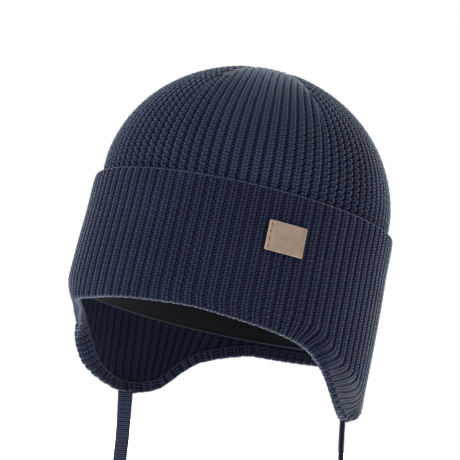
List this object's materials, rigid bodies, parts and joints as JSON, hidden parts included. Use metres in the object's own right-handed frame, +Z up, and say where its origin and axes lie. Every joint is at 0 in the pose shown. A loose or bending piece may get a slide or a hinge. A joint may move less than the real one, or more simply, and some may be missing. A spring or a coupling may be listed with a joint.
{
  "type": "knitted winter hat with ear flaps",
  "caption": "Child's ribbed knit winter hat with a turned-up band that grows into ear flaps, a smooth lining and short ties.",
  "frame": {"origin": "inner apex of the lining, where the crown of the head touches first", "axes": "+Z up along gravity, the front of the hat faces -Y, the wearer's left is +X; the hat sits tipped back 13.4 degrees as in the picture"},
  "size_m": [0.1746, 0.2119, 0.2484],
  "materials": {
    "crown_knit": "navy wool rib knit, matt and slightly fuzzy",
    "brim_knit": "navy wool rib knit, double and folded, matt",
    "facing_knit": "dark navy wool rib knit, inner side, matt",
    "lining_jersey": "smooth dark jersey",
    "label_tape": "tan suede-like label with brown stitches, blank",
    "tie_knit": "navy flat knitted cord, matt"
  },
  "bodies": {
    "root": {"crown": "crown_knit", "brim": "brim_knit", "facing": "facing_knit", "lining": "lining_jersey", "label": "label_tape", "tie_left": "tie_knit", "tie_right": "tie_knit"}
  },
  "joints": []
}
